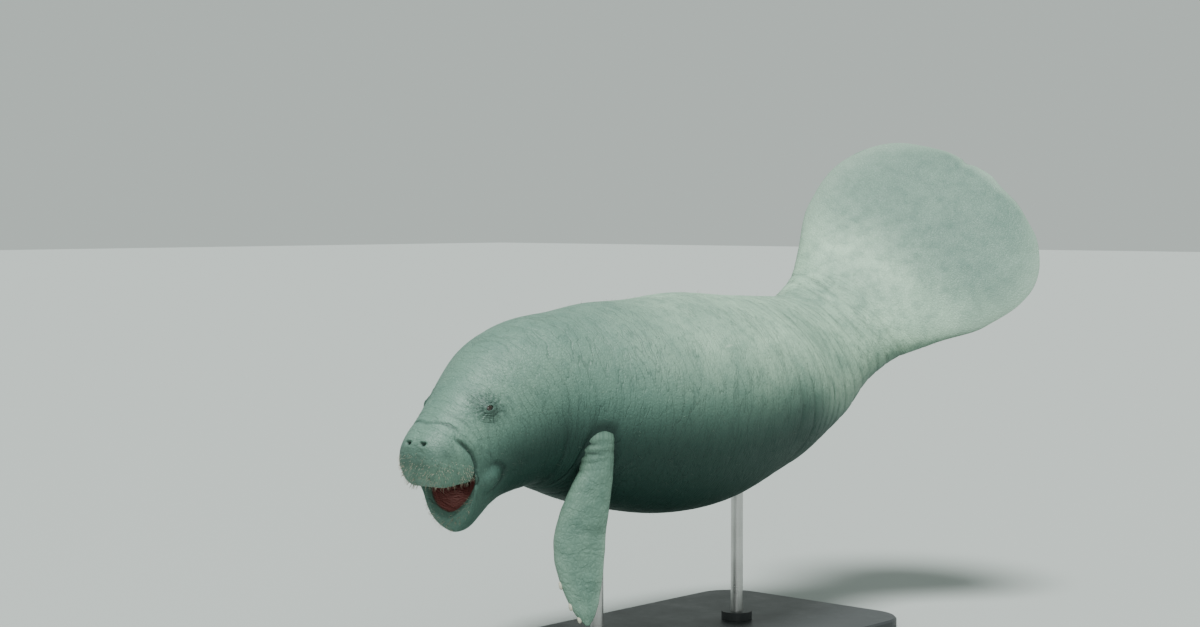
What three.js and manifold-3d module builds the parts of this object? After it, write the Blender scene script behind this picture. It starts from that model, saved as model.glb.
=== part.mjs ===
// A life-size West Indian manatee that swims with its head low, its mouth open and its tail paddle raised and twisted,
// on a display stand. Millimetres, +Z up. The head points to -X, and the animal's left side faces -Y.
// The body is first described straight, by x (back from the snout), y (to the animal's right) and z (up from the
// spine line). Then posed() bends it along the spine.
import * as THREE from "three";
import { mergeVertices } from "three/addons/utils/BufferGeometryUtils.js";
import Module from "manifold-3d";

const wasm = await Module();
wasm.setup();

// Driving dimensions
const TOTAL_LENGTH = 2735; // snout to tail tip, along the spine
const BELLY_X = 1116; // the spine point that stands over the origin
const SPINE_HEIGHT = 760; // of that point above the floor
const PADDLE_ROOT_X = 1956;
const PADDLE_FLAT_X = 2240; // from here on the section is a flat lens
const PADDLE_WIDEST_X = 2410;
const PADDLE_HALF_WIDTH = 408;
const GAP = 0.3; // between touching solids
const SIDES = 40; // of a body section

// Hoops round the body. The first lies on the edge of the lips, the next ones open round the muzzle and chin, and from
// 440 back they stand square to the spine. A hoop has a top, side and bottom place and a half width.
const HOOPS = [
  // place, top x, top z, side x, side z, half width, bottom x, bottom z
  [0, 36, -70, 126, -82, 80, 80, -168],
  [12, 22, -62, 121, -79, 89, 64, -182],
  [35, 6, -30, 112, -68, 98, 66, -209],
  [65, 3, 12, 108, -55, 101, 86, -230],
  [95, 18, 52, 112, -41, 103, 118, -238],
  [130, 50, 80, 128, -28, 106, 156, -230],
  [180, 110, 104, 165, -15, 117, 204, -214],
  [240, 180, 138, 215, -4, 132, 250, -207],
  [300, 260, 175, 275, 0, 152, 300, -213],
  [360, 345, 204, 350, 0, 176, 355, -226],
  [440, 440, 220, 440, 0, 202, 440, -240],
];
// Behind them, a section has only a height, half width and depth
const SECTIONS = [
  [540, 239, 238, 256],
  [780, 288, 306, 309],
  [1116, 307, 344, 350],
  [1452, 271, 316, 300],
  [1704, 210, 250, 181],
  [1870, 146, 212, 126],
  [PADDLE_ROOT_X, 116, 220, 104],
  [2090, 76, 282, 74],
  [2250, 46, 375, 45],
  [PADDLE_WIDEST_X, 31, PADDLE_HALF_WIDTH, 31],
  [2590, 21, PADDLE_HALF_WIDTH, 21],
  [TOTAL_LENGTH, 8, PADDLE_HALF_WIDTH, 8],
];
for (const [x, top, width, bottom] of SECTIONS) HOOPS.push([x, x, top, x, 0, width, x, -bottom]);

// Bends of the spine, in degrees, going back from the snout: how much it climbs, turns to the right and rolls
const CLIMB = [[0, 20], [344, 20], [580, -6], [1116, 2], [1564, 9], [1900, 34], [2150, 41], [2460, 37], [2735, 33]];
const TURN = [[0, 5], [344, 5], [620, 0], [1200, 0], [1676, -4], [2100, -21], [2735, -24]];
const ROLL = [[0, 0], [1340, 0], [1760, 38], [2150, 45], [2735, 45]];

// Named places of the head
const EYE = { x: 214, z: 84, radius: 13, proud: 8, lidProud: 5 };
const NOSTRIL = { x: 20, y: 31, z: 61, radius: 11, depth: 15 };
const THROAT = { x: 185, z: -125 }; // the back of the open mouth
const MOUTH_CORNER = { x: 128, z: -82 };
const JAW_ROOT = { x: 335, z: -240 }; // where the jaw's cut comes out under the throat

// A smooth curve through [place, value] pairs that never overshoots them
function smoothThrough(pairs) {
  const x = pairs.map((p) => p[0]);
  const y = pairs.map((p) => p[1]);
  const slope = x.slice(1).map((v, i) => (y[i + 1] - y[i]) / (v - x[i]));
  const tangent = x.map((_, i) => {
    if (i === 0) return slope[0];
    if (i === x.length - 1) return slope[i - 1];
    const [a, b] = [slope[i - 1], slope[i]];
    if (a * b <= 0) return 0;
    const [h0, h1] = [x[i] - x[i - 1], x[i + 1] - x[i]];
    return (3 * (h0 + h1)) / ((2 * h1 + h0) / a + (h1 + 2 * h0) / b);
  });
  return (at) => {
    const t = Math.min(Math.max(at, x[0]), x[x.length - 1]);
    let i = 0;
    while (i < x.length - 2 && t > x[i + 1]) i += 1;
    const h = x[i + 1] - x[i];
    const s = (t - x[i]) / h;
    return (
      y[i] * (1 + 2 * s) * (1 - s) ** 2 +
      y[i + 1] * s * s * (3 - 2 * s) +
      h * s * (1 - s) * (tangent[i] * (1 - s) - tangent[i + 1] * s)
    );
  };
}

const hoopCurves = HOOPS[0].slice(1).map((_, k) => smoothThrough(HOOPS.map((h) => [h[0], h[k + 1]])));
const climbAt = smoothThrough(CLIMB);
const turnAt = smoothThrough(TURN);
const rollAt = smoothThrough(ROLL);

// One point of the hoop at a place: angle 0 is the right side and a quarter turn is the top
function hoopPoint(place, angle, grow = 0) {
  let [topX, topZ, sideX, sideZ, width, bottomX, bottomZ] = hoopCurves.map((curve) => curve(place));
  if (place > PADDLE_WIDEST_X) {
    const far = (place - PADDLE_WIDEST_X) / (TOTAL_LENGTH - PADDLE_WIDEST_X);
    width *= Math.sqrt(Math.max(0.0004, 1 - far ** 2.2));
  }
  const [c, s] = [Math.cos(angle), Math.sin(angle)];
  const high = Math.abs(s);
  const muzzle = 1 - THREE.MathUtils.smoothstep(place, 100, 300);
  const flat = THREE.MathUtils.smoothstep(place, PADDLE_ROOT_X, PADDLE_FLAT_X);
  const forward = high ** 2 * THREE.MathUtils.lerp(1, 3 - 2 * high, muzzle);
  const upward = high ** (1 + 0.35 * flat);
  const boxy = s > 0 ? 1 - 0.18 * muzzle : 1 + 0.25 * muzzle;
  const [endX, endZ] = s > 0 ? [topX, topZ + grow] : [bottomX, bottomZ - grow];
  return [
    sideX + (endX - sideX) * forward,
    (width + grow) * Math.sign(c) * Math.abs(c) ** boxy,
    sideZ + (endZ - sideZ) * upward,
  ];
}

// The spine's turned axes at x: back along the body, to the right and up
function axesAt(x) {
  const [climb, turn, roll] = [climbAt(x), turnAt(x), rollAt(x)].map(THREE.MathUtils.degToRad);
  const turned = new THREE.Matrix4().makeRotationZ(turn);
  turned.multiply(new THREE.Matrix4().makeRotationY(-climb));
  return turned.multiply(new THREE.Matrix4().makeRotationX(roll));
}

// The spine line itself, added up in short steps from the snout
const STEP = 10;
const spine = [new THREE.Vector3()];
for (let x = 0; x < TOTAL_LENGTH; x += STEP) {
  const along = new THREE.Vector3(STEP, 0, 0).applyMatrix4(axesAt(x + STEP / 2));
  spine.push(spine[spine.length - 1].clone().add(along));
}
function spineAt(x) {
  const i = Math.min(Math.max(Math.floor(x / STEP), 0), spine.length - 2);
  return spine[i].clone().lerp(spine[i + 1], x / STEP - i);
}
const spineShift = new THREE.Vector3(0, 0, SPINE_HEIGHT).sub(spineAt(BELLY_X));

// Where a place of the straight body lies in the swimming pose
function posed(x, y, z) {
  return new THREE.Vector3(0, y, z).applyMatrix4(axesAt(x)).add(spineAt(x)).add(spineShift);
}

// A closed solid from rings of points, each end closed by a fan
function loft(rings) {
  const n = rings[0].length;
  const middle = (ring) => ring.reduce((a, p) => a.add(p), new THREE.Vector3()).divideScalar(n);
  const points = rings.flat();
  const ends = [points.length, points.length + 1];
  points.push(middle(rings[0]), middle(rings[rings.length - 1]));
  const faces = [];
  const last = (rings.length - 1) * n;
  for (let k = 0; k < n; k += 1) {
    const next = (k + 1) % n;
    for (let j = 0; j < rings.length - 1; j += 1) {
      const [a, b, c, d] = [j * n + k, j * n + next, (j + 1) * n + next, (j + 1) * n + k];
      faces.push(a, d, c, a, c, b);
    }
    faces.push(ends[0], k, next, ends[1], last + next, last + k);
  }
  const geometry = new THREE.BufferGeometry().setFromPoints(points);
  geometry.setIndex(faces);
  return geometry;
}

// Solid forms for joining and cutting
function solidOf(geometry) {
  const plain = geometry.clone();
  plain.deleteAttribute("normal");
  plain.deleteAttribute("uv");
  const merged = mergeVertices(plain, 1e-4);
  const vertProperties = merged.attributes.position.array;
  const triVerts = new Uint32Array(merged.index.array);
  const solid = new wasm.Manifold(new wasm.Mesh({ numProp: 3, vertProperties, triVerts }));
  if (solid.volume() > 0) return solid;
  for (let i = 0; i < triVerts.length; i += 3) [triVerts[i + 1], triVerts[i + 2]] = [triVerts[i + 2], triVerts[i + 1]];
  return new wasm.Manifold(new wasm.Mesh({ numProp: 3, vertProperties, triVerts }));
}
function largestOf(solid) {
  return solid.decompose().reduce((a, b) => (b.volume() > a.volume() ? b : a));
}
function geometryOf(solid) {
  const mesh = largestOf(solid).getMesh();
  const points = new Float32Array(mesh.numVert * 3);
  for (let i = 0; i < mesh.numVert; i += 1) {
    points.set(mesh.vertProperties.subarray(i * mesh.numProp, i * mesh.numProp + 3), i * 3);
  }
  const geometry = new THREE.BufferGeometry();
  geometry.setAttribute("position", new THREE.BufferAttribute(points, 3));
  geometry.setIndex(new THREE.BufferAttribute(mesh.triVerts, 1));
  return geometry;
}

// A hoop of points in the pose
function hoop(place, grow = 0) {
  return Array.from({ length: SIDES }, (_, k) => posed(...hoopPoint(place, (k / SIDES) * 2 * Math.PI, grow)));
}

// A length of the body between two places, its sections closer together at the paddle's end
function bodyLength(from, to, spacing, grow = 0) {
  const count = Math.max(2, Math.round((to - from) / spacing));
  const hoops = [];
  for (let j = 0; j <= count; j += 1) {
    let share = j / count;
    if (to === TOTAL_LENGTH) share = Math.sin(share * (Math.PI / 2));
    hoops.push(hoop(from + (to - from) * share, grow));
  }
  return solidOf(loft(hoops));
}

// The head with its muzzle and jaw: hoops to the lips, then smaller ones into the mouth
function headSolid(back) {
  const hoops = [];
  const count = 20;
  for (let j = 0; j <= count; j += 1) hoops.push(hoop(back * (1 - j / count) ** 1.4));
  const throat = posed(THROAT.x, 0, THROAT.z);
  const lips = hoops[count];
  for (const share of [0.12, 0.35, 0.62, 0.86]) hoops.push(lips.map((p) => p.clone().lerp(throat, share)));
  return solidOf(loft(hoops));
}

// A thin slab across the head, from one place of its side view to another
function slab(from, to) {
  const [dx, dz] = [to.x - from.x, to.z - from.z];
  const geometry = new THREE.BoxGeometry(Math.hypot(dx, dz) + GAP, 600, GAP);
  geometry.rotateY(-Math.atan2(dz, dx)).translate((from.x + to.x) / 2, 0, (from.z + to.z) / 2);
  const origin = posed(0, 0, 0);
  geometry.applyMatrix4(axesAt(0)).translate(origin.x, origin.y, origin.z);
  return solidOf(geometry);
}

// How far out the skin of the head lies at a place of its side view
function headHalfWidth(x, z) {
  let best = [Infinity, 0];
  for (let place = 100; place < 400; place += 2) {
    for (let angle = 0.05; angle < 1.5; angle += 0.01) {
      const [px, py, pz] = hoopPoint(place, angle);
      const miss = Math.hypot(px - x, pz - z);
      if (miss < best[0]) best = [miss, py];
    }
  }
  return best[1];
}

// An egg-shaped solid at a place of the straight body, turned with the spine there
function egg(x, y, z, radii, around = 16) {
  const geometry = new THREE.SphereGeometry(1, around, around / 2);
  geometry.scale(...radii);
  const middle = posed(x, y, z);
  geometry.applyMatrix4(axesAt(x));
  geometry.translate(middle.x, middle.y, middle.z);
  return solidOf(geometry);
}

// The flippers. Shares run from the root to the tip; the lengths are millimetres.
const FLIPPER_LENGTH = 515;
const FLIPPER_CHORD = [[0, 104], [0.145, 94], [0.27, 115], [0.43, 138], [0.57, 144], [0.79, 113], [0.944, 54], [1, 12]];
const FLIPPER_THICK = [[0, 84], [0.16, 64], [0.34, 52], [0.56, 38], [0.74, 27], [0.9, 18], [1, 8]];
const FLIPPER_SWEEP = [[0, 0], [0.145, -5], [0.27, 8], [0.43, 26], [0.57, 34], [0.79, 24], [0.944, 7], [1, 0]]; // forward
const FLIPPER_SIDES = 20;
const flippers = {
  left: { root: [578, -192, -100], along: [-0.125, -0.05, -0.99], trailing: [0.77, -0.64, 0.02] },
  right: { root: [578, 192, -100], along: [0.86, 0.47, -0.2], trailing: [-0.2, -0.12, -0.97] },
};
const chordAt = smoothThrough(FLIPPER_CHORD);
const thickAt = smoothThrough(FLIPPER_THICK);
const sweepAt = smoothThrough(FLIPPER_SWEEP);

// A flipper's own axes in the pose: down its length, from its leading to its trailing edge, and through it
function flipperAxes(side) {
  const f = flippers[side];
  const along = new THREE.Vector3(...f.along).normalize();
  const trailing = new THREE.Vector3(...f.trailing);
  trailing.addScaledVector(along, -trailing.dot(along)).normalize();
  const through = along.clone().cross(trailing);
  return { root: posed(...f.root), along, trailing, through };
}
function flipperPoint(axes, share, chordwise, thickness) {
  const p = axes.root.clone().addScaledVector(axes.along, share * FLIPPER_LENGTH);
  p.addScaledVector(axes.trailing, chordwise - sweepAt(share));
  return p.addScaledVector(axes.through, thickness);
}
function flipperSolid(side) {
  const axes = flipperAxes(side);
  const rings = [];
  const count = 20;
  for (let j = 0; j <= count; j += 1) {
    const share = Math.sin((j / count) * (Math.PI / 2)) ** 1.1;
    const ring = [];
    for (let k = 0; k < FLIPPER_SIDES; k += 1) {
      const angle = (k / FLIPPER_SIDES) * 2 * Math.PI;
      const chordwise = (chordAt(share) / 2) * Math.cos(angle);
      const lean = 1 - 0.35 * Math.cos(angle) * share; // the trailing edge is the thin one
      ring.push(flipperPoint(axes, share, chordwise, (thickAt(share) / 2) * Math.sin(angle) * lean));
    }
    rings.push(ring);
  }
  return solidOf(loft(rings));
}

// Three flat nails on the leading edge near each flipper's tip
const NAILS = [0.79, 0.9, 0.965];
const NAIL = { length: 26, width: 16, height: 11 };
function nailSolid(side, share, grow = 0) {
  const axes = flipperAxes(side);
  const geometry = new THREE.SphereGeometry(1, 12, 8);
  geometry.scale(NAIL.length / 2 + grow, NAIL.width / 2 + grow, NAIL.height / 2 + grow);
  const basis = new THREE.Matrix4().makeBasis(axes.along, axes.trailing, axes.through);
  geometry.applyMatrix4(basis);
  const middle = flipperPoint(axes, share, -chordAt(share) / 2 + 3, 0);
  geometry.translate(middle.x, middle.y, middle.z);
  return solidOf(geometry);
}

// The stand
const BASE = { length: 1500, width: 760, thickness: 30, corner: 120, bevel: 6 };
const ROD_RADIUS = 19;
const COLLAR = { radius: 48, height: 26 };
const RODS = { front: -330, rear: 330 };
function baseGeometry() {
  const [a, b, r] = [BASE.length / 2 - BASE.bevel, BASE.width / 2 - BASE.bevel, BASE.corner];
  const outline = new THREE.Shape();
  outline.moveTo(-a + r, -b);
  outline.lineTo(a - r, -b).absarc(a - r, -b + r, r, -Math.PI / 2, 0);
  outline.lineTo(a, b - r).absarc(a - r, b - r, r, 0, Math.PI / 2);
  outline.lineTo(-a + r, b).absarc(-a + r, b - r, r, Math.PI / 2, Math.PI);
  outline.lineTo(-a, -b + r).absarc(-a + r, -b + r, r, Math.PI, Math.PI * 1.5);
  const geometry = new THREE.ExtrudeGeometry(outline, {
    depth: BASE.thickness - 2 * BASE.bevel,
    bevelThickness: BASE.bevel,
    bevelSize: BASE.bevel,
    bevelSegments: 1,
    curveSegments: 6,
  });
  return geometry.translate(0, 0, BASE.bevel);
}
function upright(radius, from, to, x, sides = 32) {
  const geometry = new THREE.CylinderGeometry(radius, radius, to - from, sides);
  return geometry.rotateX(Math.PI / 2).translate(x, 0, (from + to) / 2);
}

// Materials
const skin = new THREE.MeshStandardMaterial({ color: 0x6f9180, roughness: 0.62, metalness: 0 });
const eyeball = new THREE.MeshStandardMaterial({ color: 0x17130f, roughness: 0.12, metalness: 0 });
const nail = new THREE.MeshStandardMaterial({ color: 0xe6e2cf, roughness: 0.45, metalness: 0 });
const standPaint = new THREE.MeshStandardMaterial({ color: 0x4a4d4f, roughness: 0.5, metalness: 0.2 });
const standSteel = new THREE.MeshStandardMaterial({ color: 0xb8babb, roughness: 0.32, metalness: 1 });

const manatee = new THREE.Group();
function add(name, geometry, material) {
  const mesh = new THREE.Mesh(geometry, material);
  mesh.name = name;
  manatee.add(mesh);
}

// Lengths of the trunk and tail: name, from, to and the space between sections
const LENGTHS = [
  ["neck", 350, 520, 43],
  ["chest", 520, 860, 49],
  ["belly", 860, 1340, 60],
  ["loin", 1340, 1740, 57],
  ["tail_stock", 1740, 2100, 45],
  ["tail_paddle", 2100, TOTAL_LENGTH, 40],
];
for (const [name, from, to, spacing] of LENGTHS) {
  const end = to === TOTAL_LENGTH ? to : to - GAP / 2;
  add(name, geometryOf(bodyLength(from + GAP / 2, end, spacing)), skin);
}

// The head, with its lids, sockets and nostrils
let head = headSolid(LENGTHS[0][1] - GAP / 2);
const sides = [["left", -1], ["right", 1]];
for (const [side, sign] of sides) {
  const surface = headHalfWidth(EYE.x, EYE.z);
  const lid = { along: 27, out: 12, up: 21 };
  const y = sign * (surface + EYE.proud - EYE.radius);
  head = head.add(egg(EYE.x, sign * (surface + EYE.lidProud - lid.out), EYE.z, [lid.along, lid.out, lid.up], 20));
  head = head.subtract(egg(EYE.x, y, EYE.z, Array(3).fill(EYE.radius + GAP), 20));
  add(`eye_${side}`, geometryOf(egg(EYE.x, y, EYE.z, Array(3).fill(EYE.radius), 16)), eyeball);
  const pit = [NOSTRIL.depth, NOSTRIL.radius, NOSTRIL.radius];
  head = head.subtract(egg(NOSTRIL.x, sign * NOSTRIL.y, NOSTRIL.z, pit, 12));
}

// Three slabs meet in the corners of the mouth and part the muzzle and the lower jaw from the head
const cuts = [
  [MOUTH_CORNER, { x: MOUTH_CORNER.x, z: 200 }],
  [MOUTH_CORNER, { x: 20, z: MOUTH_CORNER.z }],
  [MOUTH_CORNER, JAW_ROOT],
];
for (const [from, to] of cuts) head = head.subtract(slab(from, to));
const headPieces = head.decompose().sort((a, b) => b.volume() - a.volume()).slice(0, 3);
const topsOf = headPieces.map((piece) => piece.boundingBox().max[2]);
const [muzzle, jaw] = topsOf[1] > topsOf[2] ? [headPieces[1], headPieces[2]] : [headPieces[2], headPieces[1]];
add("head", geometryOf(headPieces[0]), skin);
add("muzzle", geometryOf(muzzle), skin);
add("lower_jaw", geometryOf(jaw), skin);

// The trunk a little swollen, to cut the flippers and the rods where they meet it
const trunk = LENGTHS.slice(0, 4)
  .map(([, from, to, spacing]) => bodyLength(from, to, spacing, GAP))
  .reduce((a, b) => a.add(b));

// Each flipper meets the trunk, and its nails are let into it
for (const [side] of sides) {
  let flipper = flipperSolid(side).subtract(trunk);
  NAILS.forEach((share, i) => {
    flipper = flipper.subtract(nailSolid(side, share, GAP));
    add(`nail_${side}_${i + 1}`, geometryOf(nailSolid(side, share)), nail);
  });
  add(`flipper_${side}`, geometryOf(flipper), skin);
}

add("stand_base", baseGeometry(), standPaint);
for (const [name, x] of Object.entries(RODS)) {
  const foot = BASE.thickness + GAP;
  const rod = solidOf(upright(ROD_RADIUS, foot, SPINE_HEIGHT, x));
  const collar = solidOf(upright(COLLAR.radius, foot, foot + COLLAR.height, x, 40));
  add(`stand_rod_${name}`, geometryOf(rod.subtract(trunk)), standSteel);
  const hole = solidOf(upright(ROD_RADIUS + GAP, foot - 5, foot + COLLAR.height + 5, x));
  add(`stand_collar_${name}`, geometryOf(collar.subtract(hole)), standPaint);
}

export default manatee;
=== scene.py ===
# %% [markdown]
# A manatee on a display stand.
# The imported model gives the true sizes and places. This script dresses it: one smooth skin over the whole
# animal, with its folds, wrinkles, lids, nostrils and open mouth, then eyes, nails, bristles, and finishes
# for every surface. All lengths are metres. +Z is up, the head points to -X and the animal's left side faces
# -Y.

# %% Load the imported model
import math

import bpy
import numpy as np
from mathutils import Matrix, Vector


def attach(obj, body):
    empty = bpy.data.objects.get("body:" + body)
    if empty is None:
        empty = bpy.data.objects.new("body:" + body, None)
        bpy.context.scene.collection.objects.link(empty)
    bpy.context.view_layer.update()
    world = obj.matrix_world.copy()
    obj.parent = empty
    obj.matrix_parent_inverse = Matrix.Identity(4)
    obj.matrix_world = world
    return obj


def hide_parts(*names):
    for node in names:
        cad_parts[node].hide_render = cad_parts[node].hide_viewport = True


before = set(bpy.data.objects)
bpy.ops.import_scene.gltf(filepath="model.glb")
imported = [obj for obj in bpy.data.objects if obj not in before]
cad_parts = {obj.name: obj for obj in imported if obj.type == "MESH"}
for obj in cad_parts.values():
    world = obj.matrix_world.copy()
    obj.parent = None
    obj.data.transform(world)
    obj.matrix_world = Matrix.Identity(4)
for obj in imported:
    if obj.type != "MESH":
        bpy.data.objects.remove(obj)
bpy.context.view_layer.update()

# %% [markdown]
# ## Numbers that vary smoothly
# A living form has no straight ramps between its measured places. A curve that goes through each measured
# value and never overshoots it keeps a neck from bulging between two sections. The same curve serves the
# outline and the bends.

# %% A curve through measured places
TURN_ROUND = 2 * math.pi


def smooth_through(pairs):
    """A cubic through (place, value) pairs, whose slope there is the harmonic mean of the slopes beside."""
    place, value = np.array(pairs, float).T
    step = np.diff(place)
    slope = np.diff(value) / step
    before, after = slope[:-1], slope[1:]
    same_way = before * after > 0
    safe = np.where(same_way, before * after, 1.0)
    weights = (2 * step[1:] + step[:-1]) * after + (step[1:] + 2 * step[:-1]) * before
    middle = np.where(same_way, 3 * (step[:-1] + step[1:]) * safe / np.where(same_way, weights, 1.0), 0.0)
    tangent = np.concatenate([slope[:1], middle, slope[-1:]])

    def value_at(at):
        t = np.clip(at, place[0], place[-1])
        i = np.clip(np.searchsorted(place, t, side="right") - 1, 0, len(step) - 1)
        s = (t - place[i]) / step[i]
        rise = value[i] * (1 + 2 * s) * (1 - s) ** 2 + value[i + 1] * s * s * (3 - 2 * s)
        return rise + step[i] * s * (1 - s) * (tangent[i] * (1 - s) - tangent[i + 1] * s)

    return value_at


def fade(low, high, at):
    """0 below low, 1 above high, and an S between them."""
    t = np.clip((at - low) / (high - low), 0, 1)
    return t * t * (3 - 2 * t)


def hump(at, middle, half_width):
    """A bell: 1 at the middle and about 0.37 one half width away."""
    return np.exp(-(((at - middle) / half_width) ** 2))


def unit(vectors):
    """The same directions, each one long."""
    return np.asarray(vectors) / np.maximum(np.linalg.norm(vectors, axis=-1, keepdims=True), 1e-9)


# %% [markdown]
# ## The animal laid out straight
# A manatee is a spindle with a square muzzle at one end and a flat round paddle at the other. Every cross
# section is one hoop. Behind the cheeks the hoops stand square to the spine. In the face they lean forward
# and open, until the last one lies on the edge of the lips. So one unbroken surface runs from the lips to the
# tail, with no join in it.

# %% Sizes and hoops
TOTAL_LENGTH = 2.735
BELLY_PLACE = 1.116
SPINE_HEIGHT = 0.760
PADDLE_ROOT = 1.956
PADDLE_FLAT = 2.240
PADDLE_WIDEST = 2.410
PADDLE_HALF_WIDTH = 0.408

HOOPS = [
    # place, top x, top z, side x, side z, half width, bottom x, bottom z
    [0.000, 0.036, -0.070, 0.126, -0.082, 0.080, 0.080, -0.168],
    [0.012, 0.022, -0.062, 0.121, -0.079, 0.089, 0.064, -0.182],
    [0.035, 0.006, -0.030, 0.112, -0.068, 0.098, 0.066, -0.209],
    [0.065, 0.003, 0.012, 0.108, -0.055, 0.101, 0.086, -0.230],
    [0.095, 0.018, 0.052, 0.112, -0.041, 0.103, 0.118, -0.238],
    [0.130, 0.050, 0.080, 0.128, -0.028, 0.106, 0.156, -0.230],
    [0.180, 0.110, 0.104, 0.165, -0.015, 0.117, 0.204, -0.214],
    [0.240, 0.180, 0.138, 0.215, -0.004, 0.132, 0.250, -0.207],
    [0.300, 0.260, 0.175, 0.275, 0.000, 0.152, 0.300, -0.213],
    [0.360, 0.345, 0.204, 0.350, 0.000, 0.176, 0.355, -0.226],
    [0.440, 0.440, 0.220, 0.440, 0.000, 0.202, 0.440, -0.240],
]
SECTIONS = [
    # place, height, half width, depth
    [0.540, 0.239, 0.238, 0.256],
    [0.780, 0.288, 0.306, 0.309],
    [1.116, 0.307, 0.344, 0.350],
    [1.452, 0.271, 0.316, 0.300],
    [1.704, 0.210, 0.250, 0.181],
    [1.870, 0.146, 0.212, 0.126],
    [PADDLE_ROOT, 0.116, 0.220, 0.104],
    [2.090, 0.076, 0.282, 0.074],
    [2.250, 0.046, 0.375, 0.045],
    [PADDLE_WIDEST, 0.031, PADDLE_HALF_WIDTH, 0.031],
    [2.590, 0.021, PADDLE_HALF_WIDTH, 0.021],
    [TOTAL_LENGTH, 0.008, PADDLE_HALF_WIDTH, 0.008],
]
HOOPS += [[x, x, top, x, 0.0, width, x, -bottom] for x, top, width, bottom in SECTIONS]
hoop_curves = [smooth_through([(h[0], h[k]) for h in HOOPS]) for k in range(1, 8)]
print(len(HOOPS), "hoops give the outline")


# %% [markdown]
# ## A hoop for every place
# A section of a body is rarely a circle: the back is flatter than the belly, the muzzle is boxy and the
# paddle is a thin lens. Two half ellipses that share their side points give all of these with few numbers.
# The mouth's lining starts from the same hoop as the lips, so that skin and lining meet exactly.

# %% One surface from the lips to the tail
THROAT = np.array([0.185, 0.0, -0.125])
BOWL_DEPTH = 0.018
TONGUE_HEIGHT = 0.022
PADDLE_ROUNDING = 2.2
LEAST_WIDTH_SQUARED = 0.0004


def hoop_surface(place, angle):
    """Place runs along the body, angle round it from the right side over the top. Each hoop is two half
    ellipses that share their side points. In the face they bow forward, in the paddle they thin to a lens."""
    top_x, top_z, side_x, side_z, width, bottom_x, bottom_z = [curve(place) for curve in hoop_curves]
    far = np.clip((place - PADDLE_WIDEST) / (TOTAL_LENGTH - PADDLE_WIDEST), 0, 1)
    width = width * np.sqrt(np.maximum(LEAST_WIDTH_SQUARED, 1 - far**PADDLE_ROUNDING))
    c, s = np.cos(angle), np.sin(angle)
    high = np.abs(s)
    upper = s > 0
    muzzle = 1 - fade(0.10, 0.30, place)
    flat = fade(PADDLE_ROOT, PADDLE_FLAT, place)
    forward = high**2 * (1 + muzzle * (2 - 2 * high))
    upward = high ** (1 + 0.35 * flat)
    boxy = np.where(upper, 1 - 0.18 * muzzle, 1 + 0.25 * muzzle)
    x = side_x + (np.where(upper, top_x, bottom_x) - side_x) * forward
    y = width * np.sign(c) * np.abs(c) ** boxy
    z = side_z + (np.where(upper, top_z, bottom_z) - side_z) * upward
    return np.stack([x, y, z], -1)


def mouth_surface(inward, angle):
    """From the lips (inward 0) to the throat (inward 1): the lips' own hoop, drawn in slowly at first, so
    that it makes a roomy bowl, then quickly to a point. Its floor rises in the middle as the tongue."""
    lips = hoop_surface(np.zeros_like(inward), angle)
    drawn = (inward**1.9)[..., None]
    deeper = lips * (1 - drawn) + THROAT * drawn
    deeper[..., 0] += np.sin(inward * math.pi) * BOWL_DEPTH
    floor = np.clip(-np.sin(angle), 0, 1) ** 5
    deeper[..., 2] += TONGUE_HEIGHT * floor * fade(0.30, 0.62, inward) * (1 - fade(0.80, 0.98, inward))
    return deeper


print("the belly is", round(2 * float(hoop_curves[4](BELLY_PLACE)), 3), "m wide")


# %% [markdown]
# ## The swimming pose
# The straight animal is bent as its spine bends: at each place the spine climbs, turns and rolls by some
# degrees. The head hangs, the loin rises, and the tail is raised, swung towards the camera side and rolled.
# Bending by a spine keeps all girths true, which no pull on single points would.

# %% Bends of the spine
CLIMB = [(0, 20), (0.344, 20), (0.58, -6), (1.116, 2), (1.564, 9), (1.90, 34), (2.15, 41), (2.46, 37),
         (TOTAL_LENGTH, 33)]
TURN = [(0, 5), (0.344, 5), (0.62, 0), (1.20, 0), (1.676, -4), (2.10, -21), (TOTAL_LENGTH, -24)]
ROLL = [(0, 0), (1.34, 0), (1.76, 38), (2.15, 45), (TOTAL_LENGTH, 45)]
climb_at, turn_at, roll_at = [smooth_through(pairs) for pairs in (CLIMB, TURN, ROLL)]


def spine_axes(x):
    """The turned directions at x: back along the spine, to the animal's right, and up."""
    climb, turn, roll = [np.radians(curve(x)) for curve in (climb_at, turn_at, roll_at)]
    back = np.stack([np.cos(climb) * np.cos(turn), np.cos(climb) * np.sin(turn), np.sin(climb)], -1)
    level = np.stack([-np.sin(turn), np.cos(turn), np.zeros_like(turn)], -1)
    upright = np.cross(back, level)
    right = level * np.cos(roll)[..., None] + upright * np.sin(roll)[..., None]
    return back, right, np.cross(back, right)


SPINE_STEP = 0.01
spine_places = np.arange(0, TOTAL_LENGTH + 2 * SPINE_STEP, SPINE_STEP)
spine_steps = spine_axes(spine_places[:-1] + SPINE_STEP / 2)[0] * SPINE_STEP
spine_line = np.vstack([np.zeros(3), np.cumsum(spine_steps, 0)])


def spine_at(x):
    """The spine's own line, added up in short steps from the snout."""
    return np.stack([np.interp(x, spine_places, spine_line[:, k]) for k in range(3)], -1)


SPINE_SHIFT = np.array([0, 0, SPINE_HEIGHT]) - spine_at(np.array(BELLY_PLACE))


def posed(straight):
    """Where points of the straight animal lie in the swimming pose."""
    _, right, up = spine_axes(straight[..., 0])
    return spine_at(straight[..., 0]) + SPINE_SHIFT + straight[..., 1:2] * right + straight[..., 2:3] * up


print("the tail ends at", [round(float(v), 3) for v in posed(np.array([TOTAL_LENGTH, 0.0, 0.0]))])


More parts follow.
